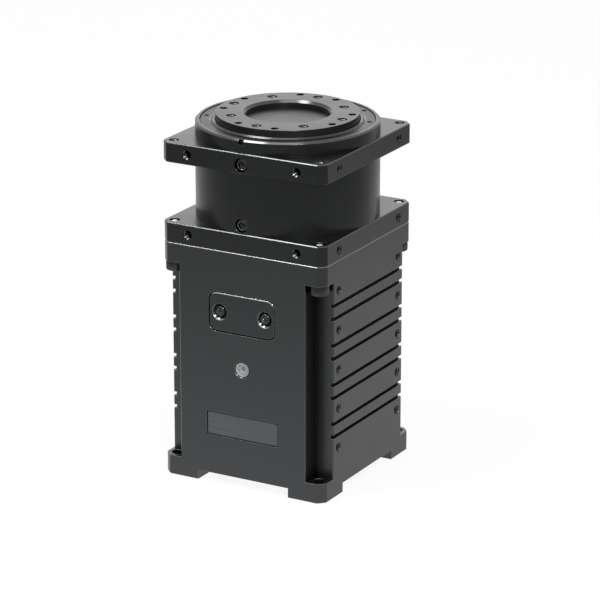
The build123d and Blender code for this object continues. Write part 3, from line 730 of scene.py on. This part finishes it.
# The slope down to each screw is turned after the blast, so it is smooth, and mirrors the
# lights as a bright crescent at the mouth of the counterbore.
seat_rim, seat_throat = 2.5, 1.98
seat_low, seat_floor = 0.54, 0.9
seat_lip = 0.02
seat_finish = blasted_anodising(
    "black_anodised_polished_seat", "#48494a", "#505152", "#505152", 0.26, edge_mm=0.05, bump=0.0
)
seat_profile = [
    (seat_rim, -seat_lip),
    (seat_throat, -seat_low),
    (seat_throat, -seat_floor),
    (seat_rim, -seat_floor),
]
seat_spots = [on_side(0, x, cover_middle, cover_face) for x in (-cover_screw_x, cover_screw_x)]
piece("cover_screw_seats", [(turned(seat_profile, 48), seat_spots)], seat_finish, "housing")


# Cover screws. M2 machine screws of blackened steel with a rounded head and a cross recess,
# sunk into the cover's counterbores.
small_screw_face, small_screw_end = [-corner[1] for corner in box_mm("cover_screws")]
small_screw_length = small_screw_face - small_screw_end
small_head_radius, small_head_height = 1.8, 1.0
small_shank_radius, small_point = 1.0, 0.4
cross_width, cross_reach, cross_depth = 0.42, 1.05, 0.7
cross_taper, cross_narrowing, cross_run = 0.35, 0.6, 0.2
cross_turns = (18, 47)


def cross_tool():
    """Two crossed wings that narrow towards their tips, as the driver leaves them."""
    wings = []
    for spin in (0, 90):
        wing = bmesh.new()
        bmesh.ops.create_cube(wing, size=1)
        for vertex in wing.verts:
            low = vertex.co.z < 0
            reach = cross_reach * (cross_taper if low else 1.0)
            width = cross_width * (cross_narrowing if low else 1.0)
            height = -cross_depth if low else cross_run
            side = (vertex.co.x * 2 * reach, vertex.co.y * width, height)
            vertex.co = Matrix.Rotation(math.radians(spin), 3, "Z") @ Vector(side) * mm
        wings.append(wing)
    return wings


small_screw_profile = [
    (0, 0),
    (0.9, -0.02),
    (1.45, -0.14),
    (small_head_radius - 0.06, -0.42),
    (small_head_radius, -0.6),
    (small_head_radius, -small_head_height),
    (small_shank_radius, -small_head_height),
    (small_shank_radius, -small_screw_length + small_point),
    (small_shank_radius - small_point, -small_screw_length),
    (0, -small_screw_length),
]
small_screw = carved(turned(small_screw_profile, 40), cross_tool())
small_spots = [
    on_side(0, x, cover_middle, small_screw_face) @ Matrix.Rotation(math.radians(turn), 4, "Z")
    for x, turn in zip((-cover_screw_x, cover_screw_x), cross_turns)
]
small_screws = [(small_screw, small_spots)]
screws = piece("front_cover_screws", small_screws, oxide_finish, "housing", smooth=30)
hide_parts("cover_screws")


# Lock screws. Socket set screws of blackened steel, one in the upper flange and one in the
# barrel, that keep the turned parts from creeping round.
lock_radius, lock_length, lock_bevel = 2.1, 3.5, 0.45
lock_hex_radius, lock_hex_depth, lock_hex_point = 1.44, 1.2, 0.4
lock_sink, below_top, above_flange = 0.5, 3.5, 2.5
barrel_radius = box_mm("gear_housing")[1][0]
lock_places = (
    (upper_top - below_top, frame_half - lock_sink),
    (lower_top + above_flange, barrel_radius - lock_sink),
)
lock_profile = [
    (0, 0),
    (lock_radius - lock_bevel, 0),
    (lock_radius, -lock_bevel),
    (lock_radius, -lock_length),
    (0, -lock_length),
]
lock_hex_profile = [
    (0, drive_run),
    (lock_hex_radius, drive_run),
    (lock_hex_radius, -lock_hex_depth),
    (0, -lock_hex_depth - lock_hex_point),
]
lock_shape = carved(turned(lock_profile, 48), [turned(lock_hex_profile, 6)])
lock_spots = [on_side(0, 0, height, out) for height, out in lock_places]
locks = piece("socket_lock_screws", [(lock_shape, lock_spots)], oxide_finish, "housing", smooth=30)
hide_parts("lock_screws")


# Status lamp. A moulded light guide of pale milky plastic pressed into the front, with a
# dished middle that the light comes through, and a smooth bevel in the case round it.
lamp_corners = box_mm("lamp_lens")
lamp_face, lamp_back = [-corner[1] for corner in lamp_corners]
lamp_z = (lamp_corners[0][2] + lamp_corners[1][2]) / 2
lamp_radius, lamp_depth = 2.16, lamp_face - lamp_back
lamp_rim, lamp_edge = 0.25, 0.2
bevel_inner, bevel_outer, bevel_sink, bevel_back = 2.26, 2.59, 0.33, 0.4
painted_centre_shift, haze_mm = 0.3, 0.8
lamp_finish, tree, place = begin_finish("moulded_milky_polycarbonate")
# Painted light and shade: the lens's grey runs in rings round a centre set off up and to the right,
# darker in the middle, with painted highlights in a ring and at the rim.
middle = {"operation": "SUBTRACT", 1: (painted_centre_shift * mm, 0, (lamp_z + painted_centre_shift) * mm)}
from_middle = add(tree, "VectorMath", middle, {0: place}).outputs[0]
flat = {"operation": "MULTIPLY", 1: (1, 0, 1)}
across = add(tree, "VectorMath", flat, {0: from_middle}).outputs[0]
reach = add(tree, "VectorMath", {"operation": "LENGTH"}, {0: across}).outputs["Value"]
reach_share = add(tree, "MapRange", {"From Max": lamp_radius * mm}, {0: reach}).outputs[0]
painted_lens_rings = {
    "stops": [
        (0.10, linear("#5a5b5e")),
        (0.34, linear("#707173")),
        (0.52, linear("#949597")),
        (0.66, linear("#75767a")),
        (0.86, linear("#7b7c7e")),
        (0.97, linear("#9d9ea0")),
    ]
}
painted_lens_shade = add(tree, "ValToRGB", painted_lens_rings, {0: reach_share}).outputs[0]
haze = add(tree, "TexNoise", {"Scale": 1 / (haze_mm * mm)}, {"Vector": place}).outputs[0]
rough = add(tree, "MapRange", {"To Min": 0.2, "To Max": 0.4}, {0: haze}).outputs[0]
settings = {"IOR": 1.58, "Subsurface Weight": 0.15, "Subsurface Scale": 0.001}
skin = add(tree, "BsdfPrincipled", settings, {"Base Color": painted_lens_shade, "Roughness": rough})
add(tree, "OutputMaterial", None, {"Surface": skin.outputs[0]})
lamp_profile = [
    (0, -0.55),
    (0.6, -0.5),
    (1.1, -0.35),
    (1.45, -0.1),
    (1.6, 0),
    (lamp_radius - lamp_rim, 0),
    (lamp_radius, -lamp_edge),
    (lamp_radius, -lamp_depth),
    (0, -lamp_depth),
]
lamp_spot = [on_side(0, 0, lamp_z, lamp_face)]
lamp = piece("lamp_light_guide", [(turned(lamp_profile, 48), lamp_spot)], lamp_finish, "housing")
bevel_profile = [
    (bevel_outer, -seat_lip),
    (bevel_inner, -bevel_sink),
    (bevel_inner, -bevel_sink - bevel_back),
    (bevel_outer, -bevel_sink - bevel_back),
]
piece("lamp_seat_bevel", [(turned(bevel_profile, 48), lamp_spot)], seat_finish, "housing")
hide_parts("lamp_lens")


# Label plate. A thin plate of anodised aluminium foil stuck in its shallow recess. It is left
# bare, with the black edge of the recess round it and the fine lines of the rolled sheet, drawn
# coarser than real so that they show.
label_corners = box_mm("label_plate")
label_z = (label_corners[0][2] + label_corners[1][2]) / 2
label_face, label_back = [-corner[1] for corner in label_corners]
label_width, label_height, label_corner = 23.4, 6.7, 0.3
label_break = 0.04
roll_line_length_mm, roll_line_mm = 25, 0.25
label_finish, tree, place = begin_finish("rolled_aluminium_foil_label")
along_roll = {"Scale": (1 / (roll_line_length_mm * mm), 1, 1 / (roll_line_mm * mm))}
stretched = add(tree, "Mapping", along_roll, {"Vector": place}).outputs[0]
rolling = add(tree, "TexNoise", {"Scale": 1.0, "Detail": 3.0}, {"Vector": stretched}).outputs[0]
foil = {"stops": [(0.3, linear("#47484a")), (0.7, linear("#505153"))]}
foil_shade = add(tree, "ValToRGB", foil, {0: rolling}).outputs[0]
rough = add(tree, "MapRange", {"To Min": 0.36, "To Max": 0.5}, {0: rolling}).outputs[0]
links = {"Base Color": foil_shade, "Roughness": rough}
skin = add(tree, "BsdfPrincipled", {"Metallic": 0.4}, links)
add(tree, "OutputMaterial", None, {"Surface": skin.outputs[0]})
label_outline = round_rectangle(label_width, label_height, label_corner)
label_shape = plate([label_outline], label_face - label_back, label_break)
label_spot = [on_side(0, 0, label_z, label_face)]
label = piece("bare_label_plate", [(label_shape, label_spot)], label_finish, "housing", smooth=15)
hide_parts("label_plate")


# Base cover and its screws. A plate of the same black aluminium closes the underside between
# the feet, held by four small screws, with a window for the sockets.
coat(cover_finish, "base_cover")
coat(oxide_finish, "base_cover_screws")


# Sockets. Housings of white nylon on the lower board, two for the data leads and one for the
# supply, that open downwards between the feet. The plastic is smooth, with faint flow marks.
nylon = {"IOR": 1.53}
nylon_finish = clouded("moulded_white_nylon", 3.0, 2.0, ("#d6d4cc", "#e6e4dc"), (0.38, 0.52), nylon)
coat(nylon_finish, "data_sockets", "power_socket")


# Boards. Glass-fibre laminate with a green solder mask, over copper that shows as slightly
# paler tracks; the boards stand on the floor of the case one above the other.
track_mm = 2.5
board_finish, tree, place = begin_finish("green_solder_mask_laminate")
tracks = {"Scale": 1 / (track_mm * mm), "feature": "F1", "distance": "MANHATTAN"}
track = add(tree, "TexVoronoi", tracks, {"Vector": place}).outputs["Distance"]
masks = {"stops": [(0.3, linear("#1d5a3a")), (0.34, linear("#17492f"))]}
mask = add(tree, "ValToRGB", masks, {0: track}).outputs[0]
height = add(tree, "Bump", {"Strength": 0.3, "Distance": 0.03 * mm}, {"Height": mask}).outputs[0]
settings = {"Roughness": 0.32, "IOR": 1.5, "Coat Weight": 0.2}
skin = add(tree, "BsdfPrincipled", settings, {"Base Color": mask, "Normal": height})
add(tree, "OutputMaterial", None, {"Surface": skin.outputs[0]})
coat(board_finish, "controller_board", "power_board")


# Chips and transistors. Black epoxy moulded round the silicon, with a matt skin and the faint
# sparkle of its mineral filler, drawn coarser than real so that it shows.
epoxy = {"IOR": 1.55}
epoxy_finish = clouded(
    "moulded_black_epoxy", 0.25, 3.0, ("#161617", "#262627"), (0.5, 0.7), epoxy, dark_at=0.35
)
coat(epoxy_finish, "controller_chip", "encoder_chip", "power_transistors")


# Capacitors. Aluminium cans in a shrunk plastic sleeve, which clings in faint upright folds,
# about one to the millimetre round the can.
folds_across, folds_along = 0.9, 0.06
sleeve_finish, tree, place = begin_finish("shrunk_plastic_sleeve")
per_metre = {"Scale": (folds_across / mm, folds_across / mm, folds_along / mm)}
folds = add(tree, "Mapping", per_metre, {"Vector": place}).outputs[0]
fold = add(tree, "TexNoise", {"Scale": 1.0}, {"Vector": folds}).outputs[0]
sleeves = {"stops": [(0.3, linear("#1c2440")), (0.8, linear("#27325a"))]}
sleeve = add(tree, "ValToRGB", sleeves, {0: fold}).outputs[0]
height = add(tree, "Bump", {"Strength": 0.2, "Distance": 0.02 * mm}, {"Height": fold}).outputs[0]
settings = {"Roughness": 0.25, "IOR": 1.53}
skin = add(tree, "BsdfPrincipled", settings, {"Base Color": sleeve, "Normal": height})
add(tree, "OutputMaterial", None, {"Surface": skin.outputs[0]})
coat(sleeve_finish, "capacitors")


# Standoffs and nuts. Turned brass, with the rings that the tool leaves round it, drawn coarser
# than real so that they show. The standoffs carry the boards, and the nuts hold them down.
bands_per_scale = 3.2


def banded(name, band_mm, distortion, dark, pale):
    """A new material, its nodes, bands of a real size stacked up the object, and their shade.
    A wave texture draws about 3.2 bands for each unit of its scale."""
    finish, tree, place = begin_finish(name)
    waves = {"wave_type": "BANDS", "bands_direction": "Z", "Distortion": distortion}
    waves["Scale"] = 1 / (band_mm * mm) / bands_per_scale
    band = add(tree, "TexWave", waves, {"Vector": place}).outputs[1]
    stops = {"stops": [(at, linear(code)) for at, code in (dark, pale)]}
    shade = add(tree, "ValToRGB", stops, {0: band}).outputs[0]
    return finish, tree, band, shade


brass_ring_mm = 0.375
brass_finish, tree, _, brass = banded(
    "turned_brass", brass_ring_mm, 0.4, (0.2, "#b98f45"), (0.8, "#d9b36a")
)
skin = add(tree, "BsdfPrincipled", {"Metallic": 1.0, "Roughness": 0.27}, {"Base Color": brass})
add(tree, "OutputMaterial", None, {"Surface": skin.outputs[0]})
coat(brass_finish, "board_standoffs", "board_nuts")


# Status light. A tiny surface-mounted light in clear resin on the upper board, whose pale
# phosphor shows through.
cast_mm = 0.5
resin_finish, tree, place = begin_finish("clear_cast_resin")
cast = add(tree, "TexNoise", {"Scale": 1 / (cast_mm * mm)}, {"Vector": place}).outputs[0]
resins = {"stops": [(0.3, linear("#e0dcc0")), (0.8, linear("#efecd8"))]}
resin = add(tree, "ValToRGB", resins, {0: cast}).outputs[0]
settings = {"IOR": 1.54, "Roughness": 0.12, "Subsurface Weight": 0.3, "Subsurface Scale": 0.0005}
skin = add(tree, "BsdfPrincipled", settings, {"Base Color": resin})
add(tree, "OutputMaterial", None, {"Surface": skin.outputs[0]})
coat(resin_finish, "status_led")


# Motor can and end plate. Turned aluminium, left bare, with the turning rings drawn coarser
# than real so that they show.
can_ring_mm = 0.5
can_finish, tree, ring, bare = banded(
    "turned_bare_aluminium", can_ring_mm, 0.6, (0.2, "#a9abad"), (0.8, "#c3c5c7")
)
rough = add(tree, "MapRange", {"To Min": 0.25, "To Max": 0.38}, {0: ring}).outputs[0]
skin = add(tree, "BsdfPrincipled", {"Metallic": 1.0}, {"Base Color": bare, "Roughness": rough})
add(tree, "OutputMaterial", None, {"Surface": skin.outputs[0]})
coat(can_finish, "motor_can", "motor_plate")


# Stator core. Punched silicon-steel sheets, half a millimetre thick and stacked, so that the
# edges of the sheets run round it as fine lines.
sheet_mm = 0.5
core_finish, tree, _, steel = banded(
    "stacked_silicon_steel", sheet_mm, 0.0, (0.1, "#5a5c60"), (0.4, "#85888d")
)
skin = add(tree, "BsdfPrincipled", {"Metallic": 1.0, "Roughness": 0.42}, {"Base Color": steel})
add(tree, "OutputMaterial", None, {"Surface": skin.outputs[0]})
coat(core_finish, "stator_core")


# Stator coils. Enamelled copper wire wound by the turn round each tooth, seen as close ridges
# under clear varnish.
wire_mm = 0.5
wire_finish, tree, wire, copper = banded(
    "enamelled_copper_wire", wire_mm, 0.8, (0.1, "#6b2f16"), (0.7, "#b5642f")
)
height = add(tree, "Bump", {"Strength": 0.8, "Distance": 0.1 * mm}, {"Height": wire}).outputs[0]
settings = {"Metallic": 1.0, "Roughness": 0.3, "Coat Weight": 0.5}
skin = add(tree, "BsdfPrincipled", settings, {"Base Color": copper, "Normal": height})
add(tree, "OutputMaterial", None, {"Surface": skin.outputs[0]})
coat(wire_finish, "stator_coils")


# Magnets. Sintered magnets plated with nickel, one round the rotor and a small one at the end of
# its shaft for the encoder. The plating is smooth and slightly warm.
metal = {"Metallic": 1.0}
nickel_finish = clouded("nickel_plate", 4.0, 4.0, ("#a8a49c", "#bdb9b1"), (0.18, 0.3), metal)
coat(nickel_finish, "rotor_magnet", "encoder_magnet")


# Bearings. The output's race and rollers and the motor's two bearings are hardened steel, ground
# and lapped to a fine mirror with a trace of grease.
ground_finish = clouded(
    "ground_bearing_steel", 5.0, 3.0, ("#a3a5a8", "#bcbec1"), (0.1, 0.24), metal
)
coat(ground_finish, "bearing_race", "bearing_rollers", "motor_bearings")


# Gear. Alloy steel, hardened and finish-ground to a dull grey: the shaft with its two
# eccentrics, the two lobed discs, and the output pins with their carrier.
gear_finish = clouded(
    "hardened_alloy_steel", 6.0, 4.0, ("#7a7b7f", "#96979b"), (0.26, 0.4), metal
)
coat(gear_finish, "input_shaft", "cycloid_disc_lower", "cycloid_disc_upper")
coat(gear_finish, "output_pins", "pin_carrier")
